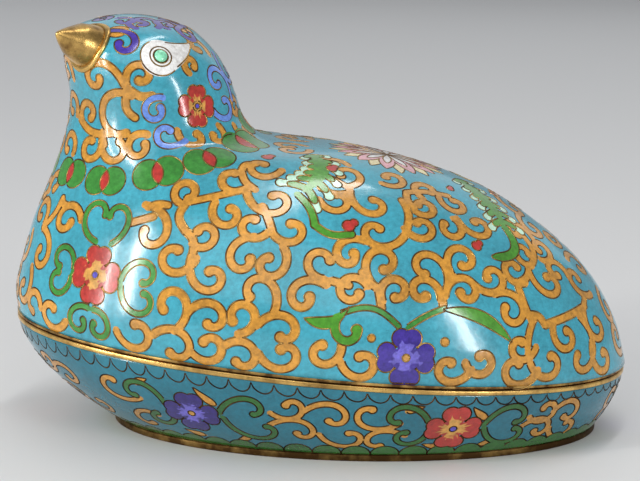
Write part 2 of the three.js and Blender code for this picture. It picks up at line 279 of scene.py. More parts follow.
class Pattern:
    """Enamel cells on one surface, kept as rows of beads (centre and radius) for the colour
    fields, and as outlines (points with outward directions) for the wires."""

    def __init__(self, surface):
        self.surface = surface
        self.beads = []        # (enamel, centres, radii)
        self.wires = []        # (index of its cell or None, enamel, points, outward directions)

    def both_sides(self, enamel, centres, radii, wires, mirror):
        """Adds a cell and its outlines, and their reflections across the bird's middle where
        asked; bare wires come without centres and belong to no cell."""
        for flip in ((1, 1, 1), (1, -1, 1))[:2 if mirror else 1]:
            cell = None
            if centres is not None:
                cell = len(self.beads)
                self.beads.append((enamel, centres * flip, radii))
            for points, outs in wires:
                self.wires.append((cell, enamel, points * flip, outs * flip))

    def sweep(self, enamel, paths, profile, mirror=True, wire=True, place=None):
        """Cells along paths on the surface, with the half width that the profile gives for each
        share of the way, rounded at the far end. Wide ones name a place near them, from which
        their outline is dropped on the surface."""
        radii = profile(np.linspace(0, 1, paths[0].shape[1]))
        cap = np.radians(np.linspace(-90, 90, 9)[1:-1])[:, None]
        for points, outs, forwards in zip(*paths):
            left = np.cross(outs, forwards)
            tip = points[-1] + radii[-1] * (np.cos(cap) * forwards[-1] + np.sin(cap) * left[-1])
            side = left * radii[:, None]
            outline = np.vstack([points - side, tip, (points + side)[::-1]])
            upright = np.vstack([outs, np.repeat(outs[-1:], len(cap), 0), outs[::-1]])
            laid = self.surface.lie(outline, place) if place else (outline, upright)
            self.both_sides(enamel, points, radii, [laid] if wire else [], mirror)

    def ring(self, place, radius):
        """A bare round wire about a place."""
        centre, ahead, left, _ = self.spot(place)
        turn = np.linspace(0, TAU, 41)[:, None]
        points = centre + radius * (np.cos(turn) * ahead + np.sin(turn) * left)
        self.both_sides("gold", None, None, [self.surface.lie(points, place)], False)

    def wire_line(self, up, turn):
        """A bare wire through places on the surface."""
        points = self.surface.point(up, turn)
        self.both_sides("dark", None, None, [(points, self.surface.basis(up, turn)[2])], False)

    def spot(self, place, offset=(0.0, 0.0), heading=0.0):
        """A point reached from a place (turn, up) by an offset in mm in its tangent plane, and
        the directions there, turned by a heading."""
        turn, up = math.radians(place[0]), place[1]
        along, upward, out = (v[0] for v in self.surface.basis(np.array([up]), np.array([turn])))
        centre = self.surface.point(np.array([up]), np.array([turn]))[0]
        h = math.radians(heading)
        ahead = math.cos(h) * along + math.sin(h) * upward
        left = math.cos(h) * upward - math.sin(h) * along
        aim = centre + offset[0] * ahead + offset[1] * left
        if offset[0] or offset[1]:
            up_a, turn_a = self.surface.settle(aim, np.array([up]), np.array([turn]))
            centre = self.surface.point(up_a, turn_a)[0]
            out = self.surface.basis(up_a, turn_a)[2][0]
        return centre, ahead, left, out

    def discs(self, enamel, place, rows, heading=0.0, mirror=True, wire=True):
        """Round spots of enamel round a place; a row is (ahead, left, radius) in mm."""
        for ahead_mm, left_mm, radius in rows:
            centre, ahead, left, out = self.spot(place, (ahead_mm, left_mm), heading)
            ahead = unit(ahead - dot(ahead, out) * out)
            left = np.cross(out, ahead)
            turn = np.linspace(0, TAU, 33)[:, None]
            ring = centre + radius * (np.cos(turn) * ahead + np.sin(turn) * left)
            wires = [self.surface.lie(ring, place)] if wire else []
            self.both_sides(enamel, centre[None], np.array([radius]), wires, mirror)

    def used(self):
        """The enamels of this pattern's cells."""
        return {bead[0] for bead in self.beads}

    def field(self, enamel, points):
        """Signed distance in mm from each point to the nearest cell of an enamel, negative
        inside, held at the reach far away."""
        field = np.full(len(points), FIELD_REACH)
        for name, centres, radii in self.beads:
            if name == enamel:
                lower_field(field, points, centres, radii)
        return field

    def visible_wires(self):
        """The outlines, cut where another cell of the same or a later enamel covers them."""
        balls = [ball(centres, radii.max()) for _, centres, radii in self.beads]
        middles, reaches = (np.array(column) for column in zip(*balls))
        ranks = np.array([ENAMELS.index(name) for name, _, _ in self.beads])
        for cell, enamel, points, outs in self.wires:
            middle, size = ball(points, 0)
            near = np.linalg.norm(middles - middle, axis=1) < reaches + size
            rank = ENAMELS.index(enamel)
            keep = np.ones(len(points), bool)
            for other in np.flatnonzero(near & (ranks >= rank)):
                if other == cell:
                    continue
                _, centres, radii = self.beads[other]
                gaps = np.linalg.norm(points[:, None] - centres[None], axis=2) - radii
                keep &= gaps.min(1) > (SAME_GAP if ranks[other] == rank else LATER_GAP)
            yield from runs(points, outs, keep)


def ball(points, spare):
    """The middle of some points, and how far they reach from it with something to spare."""
    middle = points.mean(0)
    return middle, np.linalg.norm(points - middle, axis=1).max() + spare


def lower_field(field, points, centres, radii):
    """Lowers a distance field in place by one row of beads: the least of the distances to
    their centres less their radii, worked out in parts to spare memory."""
    middle, size = ball(centres, radii.max() + FIELD_REACH)
    near = np.flatnonzero(((points - middle) ** 2).sum(1) < size * size)
    for part in np.array_split(near, max(1, len(near) * len(centres) // 2000000)):
        gaps = np.linalg.norm(points[part][:, None] - centres[None], axis=2) - radii
        field[part] = np.minimum(field[part], gaps.min(1))


def runs(points, outs, keep):
    """Stretches of kept points, of three or more."""
    edges = np.flatnonzero(np.diff(np.r_[0, keep.astype(int), 0]))
    for start, stop in zip(edges[::2], edges[1::2]):
        if stop - start >= 3:
            yield points[start:stop], outs[start:stop]


def band(half_width, end):
    """Half width along a band: even, then going over to its end's as a square."""
    def profile(share):
        grow = np.clip((share - 0.84) / 0.16, 0, 1) ** 2
        return half_width + (end - half_width) * grow
    return profile


def leaf(half_width, fullest):
    """Half width along a leaf, a power of a half wave: pointed at both ends and fullest at a
    share of its length."""
    bend = math.log(0.5) / math.log(fullest)

    def profile(share):
        return np.maximum(half_width * np.sin(math.pi * share ** bend) ** 0.8, 0.08)
    return profile


# Rows of volutes: turn (degrees from the breast) and up (0 to 1) of the start, the same of
# the eye, degrees swept round the eye (positive to the left), and the last radius in mm.
FLANK_VOLUTES = [
    (51, .045, 55.8, .042, 290, 2.6), (59, .048, 64, .03, -300, 2.5),
    (63.8, .065, 63.5, .125, 300, 2.5), (66.4, .105, 71.5, .102, -304, 1.7),
    (66.5, .022, 70.5, .040, 308, 2.0), (73.2, .047, 76.3, .028, -292, 2.2),
    (76, .075, 77.1, .113, 310, 2.4), (79.8, .097, 84.6, .089, -295, 1.7),
    (79, .04, 84.0, .04, 315, 1.7), (83.2, .125, 81, .17, 270, 2.3), (94.6, .188, 89.2, .158, 340, 1.5),
    (102.6, .187, 99, .177, 320, 1.9), (94.6, .2, 95.6, .237, -265, 2.2),
    (108.5, .285, 102.3, .253, 340, 1.4), (69.3, .245, 72.4, .19, 345, 1.6),
    (69.6, .268, 73, .292, 290, 1.8), (79.8, .388, 81, .35, 300, 1.7),
    (87.8, .305, 85.2, .322, -265, 1.7), (88.9, .312, 93.8, .312, 280, 1.7),
    (84.4, .295, 79.7, .236, 300, 1.7), (89.6, .272, 84.8, .227, -320, 1.7),
    (91.4, .43, 96.2, .392, 325, 1.8), (91, .432, 90.9, .465, -240, 2.0),
    (107.8, .395, 112, .388, 280, 1.9), (93.4, .033, 97.3, .032, 300, 2.0),
    (94.4, .082, 90.6, .05, -305, 1.8), (104.1, .155, 107.9, .178, -318, 1.7),
    (116, .155, 113.1, .176, 330, 1.5), (117.4, .027, 112.7, .03, -295, 1.4),
    (104.2, .18, 109, .24, -345, 2.0), (117.3, .165, 117.6, .228, 320, 2.1),
    (117.3, .163, 122.8, .172, -360, 1.6), (125.5, .187, 131.6, .195, 350, 1.6),
    (129, .163, 130.9, .126, -345, 2.1), (135.6, .112, 135.8, .03, 335, 1.9),
    (133.2, .06, 129.2, .062, -295, 1.4), (132.3, .022, 126.6, .025, -305, 1.8),
    (116.4, .04, 120, .04, 300, 1.6), (139.4, .178, 139, .206, -275, 1.6),
    (146, .208, 147.7, .234, -285, 1.6), (143.4, .197, 147.6, .17, 320, 1.6),
    (140.6, .099, 142.8, .07, 305, 1.6), (150.8, .105, 145.8, .031, -300, 1.8),
    (151.2, .055, 155, .024, 315, 1.6), (154.6, .115, 156.5, .075, 320, 1.6),
    (121.5, .31, 112.4, .305, -330, 1.6), (120.6, .31, 125.6, .31, 305, 1.7),
    (137.6, .322, 133.2, .303, -285, 1.8), (121.9, .20, 128, .238, -345, 1.9),
    (138.8, .322, 143.1, .30, 330, 1.5), (144.3, .375, 145.4, .352, 300, 1.4),
    (121, .43, 130, .468, 310, 1.9), (120.7, .42, 120.4, .372, 310, 1.6),
    (134.5, .43, 142, .44, 310, 1.6), (129.3, .347, 133.6, .356, 300, 1.5),
    (138, .378, 145, .397, -290, 1.4), (163, .13, 160, .165, -320, 1.4), (158, .25, 155, .28, 300, 1.6),
    (152, .215, 157, .235, 330, 1.5), (157, .17, 153.5, .19, 300, 1.4), (172, .02, 168, .05, -330, 1.6),
    (172, .13, 170, .09, 330, 1.7), (166, .2, 171, .18, -300, 1.7), (170, .3, 166, .27, 320, 1.7),
    (176, .24, 172, .24, -320, 1.6), (178, .34, 174, .31, 300, 1.7), (112, .50, 107, .515, -300, 1.6),
    (140, .50, 135.5, .515, 290, 1.5), (158, .585, 150, .60, -300, 1.4), (170, .60, 163, .62, 300, 1.4),
]
BREAST_VOLUTES = [
    (38.5, .297, 31.8, .29, 340, 2.2), (20.5, .245, 23.3, .175, -345, 1.7),
    (37.5, .035, 32, .045, -300, 2.0), (28, .05, 24.5, .055, 255, 2.3),
    (60.2, .37, 60.8, .285, -312, 2.3), (70.3, .232, 65, .227, -300, 2.2),
    (72, .378, 74, .418, -340, 1.8), (19.5, .14, 16.5, .075, -330, 1.7), (12, .02, 9, .06, -320, 1.7),
    (20.5, .255, 15, .29, 320, 1.7), (12, .22, 8, .17, -330, 1.7), (5, .30, 9, .36, -320, 1.7),
    (2, .12, 6.5, .11, 300, 1.7), (14, .36, 17.5, .395, -280, 1.6),
]
NECK_VOLUTES = [
    (80, .768, 55.5, .773, 372, 1.5), (79.3, .755, 92, .793, -345, 1.4), (81, .747, 70, .705, 235, 4.6),
    (38, .663, 43.5, .694, -290, 1.6), (54, .645, 57, .58, 290, 2.2), (51, .612, 41.5, .57, -310, 1.9),
    (84, .667, 71.3, .608, 330, 1.8), (28, .53, 22, .57, 300, 1.7), (30, .68, 22, .70, 310, 1.8),
    (10, .52, 5, .56, 320, 1.7), (12, .66, 4, .67, -310, 1.8), (30, .76, 20, .78, 320, 1.5),
    (8, .74, 13, .77, -300, 1.5), (-12, .76, -5, .79, -300, 1.4), (152, .70, 160, .68, 300, 1.2),
    (162, .83, 153, .85, 300, 1.3), (172, .74, 165, .73, 300, 1.2), (176, .90, 166, .89, 300, 1.2),
    (128, .80, 133, .815, -280, 1.0), (88, .90, 80, .89, 300, 1.2), (104, .685, 113, .672, 260, 1.0),
    (136, .70, 129, .678, -260, 1.0),
]
SKY_VOLUTES = [
    (102, .75, 94.4, .722, 335, 1.5), (104.5, .66, 95.2, .672, -300, 1.5),
    (134, .745, 152, .735, 300, 1.5), (165, .745, 150, .785, 350, 1.5), (172, .83, 176, .79, 300, 1.3),
]
INDIGO_VOLUTES = [
    (66, .89, 86.5, .856, -330, 1.4), (60, .955, 84, .94, -300, 1.4), (100, .905, 108, .93, -330, 1.4),
    (128, .905, 121, .945, 320, 1.3), (140, .90, 150, .92, -320, 1.3), (40, .94, 24, .94, 320, 1.4),
    (170, .94, 176, .91, -300, 1.3), (166, .90, 157, .875, 300, 1.6),
]

# Rows of stems: turn and up of the start and of the end, and the bow to the left in mm.
OCHRE_STEMS = [
    (91.8, .378, 89.6, .31, 0), (72.6, .385, 69.3, .30, -1.9), (69.3, .30, 69.8, .245, 0.9),
    (71, .381, 92.3, .434, 0), (55, .31, 61.8, .335, 0), (61, .362, 66.8, .372, 0.5),
    (31, .333, 27.3, .353, 0.6), (27.3, .353, 20.5, .247, 1.0), (96.5, .197, 99.5, .188, 0),
    (103.8, .138, 105, .182, 0), (105, .182, 103.5, .215, 0.4), (117.2, .163, 116.4, .146, 0),
    (135.2, .115, 137.6, .182, 0.5), (137.8, .18, 145.8, .212, -1), (135.4, .118, 138.4, .097, 0.9),
    (138.2, .097, 156, .116, 0), (121.8, .31, 130.8, .378, -0.5), (130.8, .358, 137, .398, 0.8),
    (137, .398, 149, .374, 0.8), (94.4, .43, 98.5, .50, 1.0), (98.5, .50, 108.5, .53, 1.2),
    (121.8, .43, 122.6, .46, 0), (113.5, .43, 119.2, .41, -1), (147.5, .212, 156.5, .272, -1.5),
    (151.5, .106, 158.5, .132, -0.5), (34, .675, 62, .655, -1.6), (81, .76, 95, .752, -0.8),
    (77, .745, 80, .703, -1.0), (53.5, .648, 52, .60, 0),
]
FLANK_SHIFT = 0.5      # degrees by which the flank's rows are moved towards the tail


class Motifs(Pattern):
    """A pattern that also knows the shapes made of several cells."""

    def flower(self, place, radius, petal, throat, eyelet, mirror=True):
        """A flower of four two-lobed petals, with a throat of spread rays and an eyelet."""
        part = math.radians(16.2)
        lobes = [(0.68 * radius * math.cos(a), 0.68 * radius * math.sin(a), 0.32 * radius)
                 for a in (-part, part)]
        for turn in (0, 90, 180, 270):
            self.discs(petal, place, lobes, turn, mirror)
            self.discs(petal, place, [(0.4 * radius, 0, 0.3 * radius)], turn, mirror, wire=False)
            for spread, reach in ((-30, 0.56), (-15, 0.66), (0, 0.5), (15, 0.66), (30, 0.56)):
                ray = self.surface.walk([(*place, turn + spread, reach * radius, 0)])
                self.sweep(throat, ray, leaf(0.042 * radius, 0.5), mirror, wire=False)
        self.discs(throat, place, [(0, 0, 0.24 * radius)], 0, mirror)
        self.discs(eyelet, place, [(0, 0, 0.13 * radius)], 0, mirror)

    def heart(self, rows, width=0.72, enamel="green"):
        """The curled arms of a heart, each given as a volute."""
        self.sweep(enamel, self.surface.volutes(rows), band(width, width * 1.3))

    def lens(self, place, radius, gap, heading=0.0, mirror=True):
        """Two overlapping green discs with a pointed red lens where they overlap: beads down
        its middle line, wide as 1 - share ** 2."""
        rows = [(-gap / 2, 0, radius), (gap / 2, 0, radius)]
        self.discs("green", place, rows, heading, mirror)
        tall = math.sqrt(radius ** 2 - (gap / 2) ** 2)
        reach = radius - gap / 2
        path = np.linspace(-1, 1, 15)
        centre, ahead, left, _ = self.spot(place, heading=heading)
        points = centre + 0.95 * tall * path[:, None] * left
        radii = np.maximum(0.95 * reach * (1 - path ** 2), 0.08)
        side = ahead * radii[:, None]
        ring = np.vstack([points - side, (points + side)[::-1], (points - side)[:1]])
        self.both_sides("red", points, radii, [self.surface.lie(ring, place)], mirror)

    def spray(self, row, width, reach):
        """A palm leaf from one place to another: a midrib, and broad leaflets down each side
        that end in pale tips."""
        surface = self.surface
        path = surface.links([row])
        near = row[:2]
        for k in range(1, 24, 4):
            near = surface.locate(path[0][0, k], near)
            along, upward, _ = (v[0] for v in surface.basis(np.array([near[1]]), np.radians([near[0]])))
            ahead = path[2][0, k]
            heading = math.degrees(math.atan2(ahead @ upward, ahead @ along))
            long = reach * (0.5 + 0.5 * k / 24)
            for side in (-1, 1):
                for enamel, share, curl, end in (("mint", 1.0, 30, 0.62), ("leaf", 0.66, 22, 0.35)):
                    stroke = (*near, heading + side * 78, long * share, -side * curl)
                    leaflet = surface.walk([stroke], 12)
                    self.sweep(enamel, leaflet, band(width * 0.5, width * end))
        self.sweep("leaf", path, leaf(width * 0.95, 0.4))

    def lotus(self, place, size):
        """A lotus seen from above: rings of pointed petals, pink with pale hearts, and cream
        between them."""
        surface = self.surface
        for enamel, count, first, reach, width in (
                ("cream", 12, 15, 1.0, 0.125), ("pink", 12, 0, 0.94, 0.135), ("white", 12, 0, 0.66, 0.07),
                ("amber", 12, 15, 0.3, 0.03)):
            rows = [(*place, first + 360 * k / count, size * reach, 0) for k in range(count)]
            self.sweep(enamel, surface.walk(rows), leaf(size * width, 0.6), False)


def lid_pattern():
    """The enamel cells of the bird over the seam."""
    pattern = Motifs(LID)
    width = settings().band_half_width
    scroll = band(width, width * 1.3)
    flank = [(row[0] + FLANK_SHIFT, row[1], row[2] + FLANK_SHIFT, *row[3:]) for row in FLANK_VOLUTES]
    pattern.sweep("ochre", LID.volutes(flank + BREAST_VOLUTES), scroll)
    pattern.sweep("ochre", LID.volutes(NECK_VOLUTES, 2.6), band(0.95 * width, 1.15 * width))
    pattern.sweep("ochre", LID.links(OCHRE_STEMS), band(width, width))
    pattern.sweep("sky", LID.volutes(SKY_VOLUTES, 2.5), band(0.8, 1.0))
    pattern.sweep("indigo", LID.volutes(INDIGO_VOLUTES, 2.3), band(0.9, 1.1))

    pattern.flower((45.3, .163), 6.9, "red", "amber", "violet")
    pattern.heart([(44.7, .243, 44.2, .325, -285, 2.4), (49.2, .243, 51, .325, 275, 1.9)])
    pattern.heart([(52.3, .16, 58, .18, -290, 1.8), (52.3, .15, 57.5, .12, 290, 1.8)])
    pattern.heart([(38.5, .165, 33.8, .185, 285, 1.9), (38, .15, 33.5, .13, -290, 2.0)])
    pattern.heart([(44.5, .085, 41.5, .045, 330, 1.6), (45.5, .085, 46.9, .04, -330, 1.5)])
    pattern.flower((105.8, .047), 6.8, "indigo", "lilac", "amber")
    pattern.sweep("green", LID.links([(96, .13, 106, .107, 2.6)]), band(0.65, 0.65))
    pattern.sweep("leaf", LID.links([(98, .144, 89, .117, 2.2)]), leaf(1.35, 0.6))
    pattern.heart([(95.2, .122, 96.6, .096, 235, 1.8)], 1.0, "leaf")
    pattern.sweep("green", LID.links([(107.8, .105, 116.4, .14, 0.5)]), band(0.65, 0.65))
    pattern.sweep("leaf", LID.links([(116, .138, 128.3, .072, 2.0)]), leaf(1.5, 0.5))
    pattern.discs("ochre", (100.4, .083), [(0, 0, 0.9)])
    pattern.discs("ochre", (114, .077), [(0, 0, 1.0)])

    for turn, up, heading, radius, gap in (
            (28, .45, 0, 3.5, 4.4), (46.9, .44, 3, 3.5, 4.4), (69, .487, 16, 3.8, 4.7),
            (97, .566, 20, 3.9, 4.7), (143, .655, 14, 4.5, 5.2)):
        pattern.lens((turn, up), radius, gap, heading)
    for turn, up in ((0, .462), (180, .70)):
        pattern.lens((turn, up), 3.6, 4.8, mirror=False)
    pattern.flower((125, .737), 5.0, "red", "amber", "violet")

    pattern.lotus((180, .497), 14.5)
    pattern.spray((145, .565, 104.2, .41, 0), 2.0, 6.6)
    pattern.sweep("leaf", LID.links([(104.4, .412, 100.4, .325, 0.5), (100.4, .327, 107, .302, -1.4)]),
                  band(0.9, 1.0))
    pattern.spray((174, .40, 152.5, .285, -0.8), 2.0, 5.6)
    pattern.sweep("leaf", LID.links([(152.5, .288, 137.4, .236, 3.4)]), band(1.2, 0.6))
    for turn, up, radius in ((108.2, .322, 1.5), (135.6, .262, 1.3), (156.2, .388, 1.0), (123, .57, 1.4),
                             (131, .495, 1.3), (177, .345, 1.0)):
        berry = [(0, 0, radius), (0.9 * radius, 0.5 * radius, 0.7 * radius)]
        pattern.discs("red", (turn, up), berry)

    def tapering(share):
        """Half width of the white field's tail, which falls almost evenly to a point."""
        return np.maximum(4.6 * (1 - share) ** 0.95, 0.1)

    for side, ahead, lean in ((1, 0, 8), (-1, 180, 172)):
        eye = (HEAD_TURN + side * EYE_SPREAD, EYE_UP)
        pattern.discs("white", eye, [(-0.2, -0.2, 4.7)], ahead, False)
        tail = LID.walk([(*eye, lean, 11.0, side * 42)])
        pattern.sweep("white", tail, tapering, False, place=eye)
        pattern.discs("dark", eye, [(0, 0, EYE_RADIUS + SOCKET)], 0, False)
        pattern.ring(eye, EYE_RING)
    return pattern


# The tray's volutes between two flowers, their turns given as shares of a bay. The first half
# is measured from the flower before, and the second from the flower after.
BAY = 52.0        # degrees between the two middle flowers, which the shares are taken of
BAY_GREEN = [
    (.13, .52, .277, .62, -275, 1.5), (.13, .46, .265, .33, 275, 1.5), (.91, .53, .80, .64, 290, 1.5),
    (.90, .44, .80, .33, -290, 1.5),
]
BAY_OCHRE = [
    (.34, .60, .43, .70, 310, 1.5), (.465, .66, .57, .60, -310, 1.7), (.80, .55, .694, .66, -275, 1.9),
    (.30, .42, .41, .34, -330, 1.3), (.47, .33, .583, .29, 290, 1.8), (.80, .35, .68, .25, 275, 1.9),
]
SCALLOPS = 88          # arcs of wire under the rim
FOOT_DISCS = 56        # green discs whose upper halves show over the foot


def base_pattern():
    """The enamel cells of the tray: flowers among hearts and paired scrolls. The scallops'
    depth goes as the root of |sin|, which is round below and pointed above."""
    pattern = Motifs(BASE)
    flowers = (0.0, 61.5, 113.5, 180.0)
    for k, turn in enumerate(flowers):
        colours = ("indigo", "lilac", "amber") if k % 2 else ("red", "amber", "violet")
        paired = 0 < turn < 180
        pattern.flower((turn, .46), 6.8, *colours, mirror=paired)
        for start, start_up, end, end_up in ((7.4, .62, 4.6, .82), (-8.6, .74, -5.0, .82),
                                             (8.2, .2, 4.4, .14), (-3.6, .14, -7.6, .2)):
            bud = BASE.links([(turn + start, start_up, turn + end, end_up, 0.2)])
            pattern.sweep("ochre", bud, leaf(1.0, 0.3), paired)
    for first, last in zip(flowers[:-1], flowers[1:]):
        for enamel, rows, width in (("green", BAY_GREEN, 0.75), ("ochre", BAY_OCHRE, 0.8)):
            placed = []
            for row in rows:
                near, away = (first, 0) if row[0] < 0.5 else (last, -1)
                start, eye = (near + BAY * (share + away) for share in (row[0], row[2]))
                placed.append((start, row[1], eye, *row[3:]))
            pattern.sweep(enamel, BASE.volutes(placed), band(width, width * 1.35))
    turn = np.linspace(0, TAU, SCALLOPS * 12 + 1)
    arcs = np.abs(np.sin(turn * SCALLOPS / 2))
    pattern.wire_line(0.985 - 0.13 * arcs ** 0.5, turn)
    for turn in np.arange(FOOT_DISCS) * 360 / FOOT_DISCS:
        pattern.discs("green", (turn, 0.02), [(0, 0, 3.3)], 0, False)
    return pattern


# --- meshes ----------------------------------------------------------------------------------

# Rows and columns of the outer skins, and rows of the linings, which share their columns.
LID_GRID = (155, 520)
LID_LINING = 24
BASE_GRID = (60, 640)
BASE_LINING = 16
RIM_COLUMNS = 280
BEAK_COLUMNS = 96
EYE_COLUMNS = 48
WIRE_STEP = 0.5        # mm between the points of a wire, and its shortest length
WIRE_FOOT = 0.05       # mm from a wire's ridge down to its foot


def mesh_object(name, points, faces, material, smooth=True):
    """A mesh from points in mm and lists of three or four corners."""
    mesh = bpy.data.meshes.new(name)
    mesh.from_pydata((np.asarray(points) * MM).tolist(), [], faces)
    mesh.update()
    mesh.polygons.foreach_set("use_smooth", np.full(len(mesh.polygons), smooth))
    obj = bpy.data.objects.new(name, mesh)
    bpy.context.scene.collection.objects.link(obj)
    mesh.materials.append(material)
    return obj


def closed_mesh(name, points, quads, fans, material):
    """A closed mesh of quads and triangles, turned so that the volume that it encloses, six
    times the sum of the triangles' a . (b x c), is positive."""
    triangles = np.vstack([quads[:, [0, 1, 2]], quads[:, [0, 2, 3]], fans])
    a, b, c = (points[triangles[:, k]] for k in range(3))
    faces = quads.tolist() + fans.tolist()
    if np.einsum("ij,ij->", a, np.cross(b, c)) < 0:
        faces = [face[::-1] for face in faces]
    return mesh_object(name, points, faces, material)


def hoop_mesh(name, rings, material):
    """A closed ring from rings of points: a grid that is closed both ways."""
    rows, columns = rings.shape[:2]
    last = grid_faces(2, columns)
    last[:, :2] += (rows - 1) * columns
    last[:, 2:] -= columns
    quads = np.vstack([grid_faces(rows, columns), last])
    return closed_mesh(name, rings.reshape(-1, 3), quads, np.empty((0, 3), int), material)


def grid_faces(rows, columns, start=0):
    """Quads of a grid of rows by columns, closed round the columns."""
    r, c = np.meshgrid(np.arange(rows - 1), np.arange(columns), indexing="ij")
    a = start + r * columns + c
    b = start + r * columns + (c + 1) % columns
    return np.stack([a, b, b + columns, a + columns], -1).reshape(-1, 4)


def fan_faces(first, columns, pole):
    """Triangles from one ring of points to a pole."""
    k = np.arange(columns)
    return np.stack([first + k, first + (k + 1) % columns, np.full(columns, pole)], -1)


def shell_mesh(name, outer, outer_pole, inner, inner_pole, material):
    """A wall with two faces: rings from the mouth to a pole outside, the same inside, and a
    flat edge between them at the mouth."""
    rows, columns = outer.shape[:2]
    inner_rows = inner.shape[0]
    start = rows * columns + 1
    points = np.vstack([outer.reshape(-1, 3), outer_pole[None], inner.reshape(-1, 3), inner_pole[None]])
    inside = grid_faces(inner_rows, columns, start)[:, ::-1]
    inside_fan = fan_faces(start + (inner_rows - 1) * columns, columns, len(points) - 1)[:, ::-1]
    k = np.arange(columns)
    edge = np.stack([start + k, start + (k + 1) % columns, (k + 1) % columns, k], -1)
    quads = np.vstack([grid_faces(rows, columns), inside, edge])
    fans = np.vstack([fan_faces((rows - 1) * columns, columns, start - 1), inside_fan])
    return closed_mesh(name, points, quads, fans, material)


def ring_mesh(name, section, outline, material):
    """A closed ring: a section of (inset, rise) points carried round an outline function
    that gives the place for an inset, a rise and a turn."""
    turn = np.linspace(0, TAU, RIM_COLUMNS, endpoint=False)
    rings = np.stack([outline(inset, rise, turn) for inset, rise in section])
    return hoop_mesh(name, rings, material)


def rounded_section(inset0, inset1, rise0, rise1, corner, per_corner=5):
    """A rectangle in inset and rise with its corners rounded as quarter circles."""
    corners = [(inset1 - corner, rise1 - corner, 0), (inset0 + corner, rise1 - corner, 90),
               (inset0 + corner, rise0 + corner, 180), (inset1 - corner, rise0 + corner, 270)]
    section = []
    for x, y, start in corners:
        for angle in np.radians(np.linspace(start, start + 90, per_corner)):
            section.append((x + corner * math.cos(angle), y + corner * math.sin(angle)))
    return section


def rim_outline(inset, rise, turn):
    """The rim's ellipse moved in by the inset, on the seam's plane moved up by the rise."""
    x = -(RIM_HALF[0] - inset) * np.cos(turn)
    return np.stack([x, -(RIM_HALF[1] - inset) * np.sin(turn), seam_height(x) + rise], -1)


def foot_outline(inset, rise, turn):
    """The foot's ellipse moved in by the inset, at a height over the table."""
    x = FOOT_BACK - (FOOT_HALF[0] - inset) * np.cos(turn)
    return np.stack([x, -(FOOT_HALF[1] - inset) * np.sin(turn), np.full_like(x, rise)], -1)


def wire_mesh(name, pattern, material):
    """Gilt wires: a three-sided bar along each visible outline, resampled to even steps, with
    its ridge on the surface and its foot a little under it."""
    blocks, faces, count = [], [], 0
    for points, outs in pattern.visible_wires():
        length = np.r_[0, np.cumsum(np.linalg.norm(np.diff(points, axis=0), axis=1))]
        if length[-1] < WIRE_STEP:
            continue
        n = max(3, int(round(length[-1] / WIRE_STEP)) + 1)
        at = np.linspace(0, length[-1], n)
        path, out = (np.stack([np.interp(at, length, column) for column in rows.T], 1)
                     for rows in (points, outs))
        out = unit(out)
        side = unit(np.cross(out, np.gradient(path, axis=0))) * settings().wire_width / 2
        foot = path - WIRE_FOOT * out
        blocks.append(np.stack([foot + side, path, foot - side], 1).reshape(-1, 3))
        last = count + 3 * n - 1
        faces += grid_faces(n, 3, count).tolist()
        faces += [[count, count + 1, count + 2], [last, last - 1, last - 2]]
        count += 3 * n
    return mesh_object(name, np.vstack(blocks), faces, material)


# --- shader maths ----------------------------------------------------------------------------

class Socket:
    """A shader socket that takes part in Python arithmetic; each step adds a Math node."""

    def __init__(self, nodes, socket):
        self.nodes, self.socket = nodes, socket

    def _math(self, operation, *values):
        return self.nodes.add("ShaderNodeMath", {"operation": operation}, *values)

    def __add__(self, other):
        return self._math("ADD", self, other)

    def __radd__(self, other):
        return self._math("ADD", other, self)

    def __sub__(self, other):
        return self._math("SUBTRACT", self, other)

    def __rsub__(self, other):
        return self._math("SUBTRACT", other, self)

    def __mul__(self, other):
        return self._math("MULTIPLY", self, other)

    def __rmul__(self, other):
        return self._math("MULTIPLY", other, self)

    def limited(self):
        """The value held between 0 and 1."""
        return self.nodes.add("ShaderNodeMath", {"operation": "ADD", "use_clamp": True}, self, 0.0)


class Nodes:
    """The node tree of one material."""

    def __init__(self, name):
        self.material = bpy.data.materials.new(name)
        self.material.use_nodes = True
        self.tree = self.material.node_tree
        self.shader = self.tree.nodes["Principled BSDF"]

    def add(self, kind, options, *values, out=0, **named):
        """Adds a node: its own settings first, then the values or links of its sockets, by place
        or by name; returns one of its outputs."""
        node = self.tree.nodes.new(kind)
        for key, value in options.items():
            setattr(node, key, value)
        for key, value in (*enumerate(values), *named.items()):
            self.feed(node.inputs[key], value)
        return Socket(self, node.outputs[out])

    def feed(self, target, value):
        """Links a socket to an input, or sets the input's value; None leaves it alone."""
        if isinstance(value, Socket):
            self.tree.links.new(value.socket, target)
        elif value is not None:
            target.default_value = value

    def mix(self, factor, first, second):
        """One colour over another."""
        return self.add("ShaderNodeMix", {"data_type": "RGBA"}, factor, None, None, None, None, None,
                        first, second, out=2)

    def field(self, name):
        """A value kept on the mesh's points."""
        return self.add("ShaderNodeAttribute", {"attribute_name": name}, out=2)

    def noise(self, scale, detail, roughness):
        """Cloudy values about a half, at so many clouds a metre."""
        here = self.add("ShaderNodeTexCoord", {}, out=3)
        return self.add("ShaderNodeTexNoise", {}, Vector=here, Scale=scale, Detail=detail,
                        Roughness=roughness)

    def set(self, **values):
        """Feeds the shader's inputs by name."""
        for key, value in values.items():
            self.feed(self.shader.inputs[key.replace("_", " ")], value)

    def bump(self, height, distance, strength, normal=None):
        """A normal that follows a height, over another normal where one is given."""
        return self.add("ShaderNodeBump", {}, Strength=strength, Distance=distance, Height=height,
                        Normal=normal)


def linear(colour):
    """The linear value of a screen colour given as three numbers from 0 to 1."""
    return tuple(c / 12.92 if c <= 0.04045 else ((c + 0.055) / 1.055) ** 2.4 for c in colour[:3]) + (1.0,)


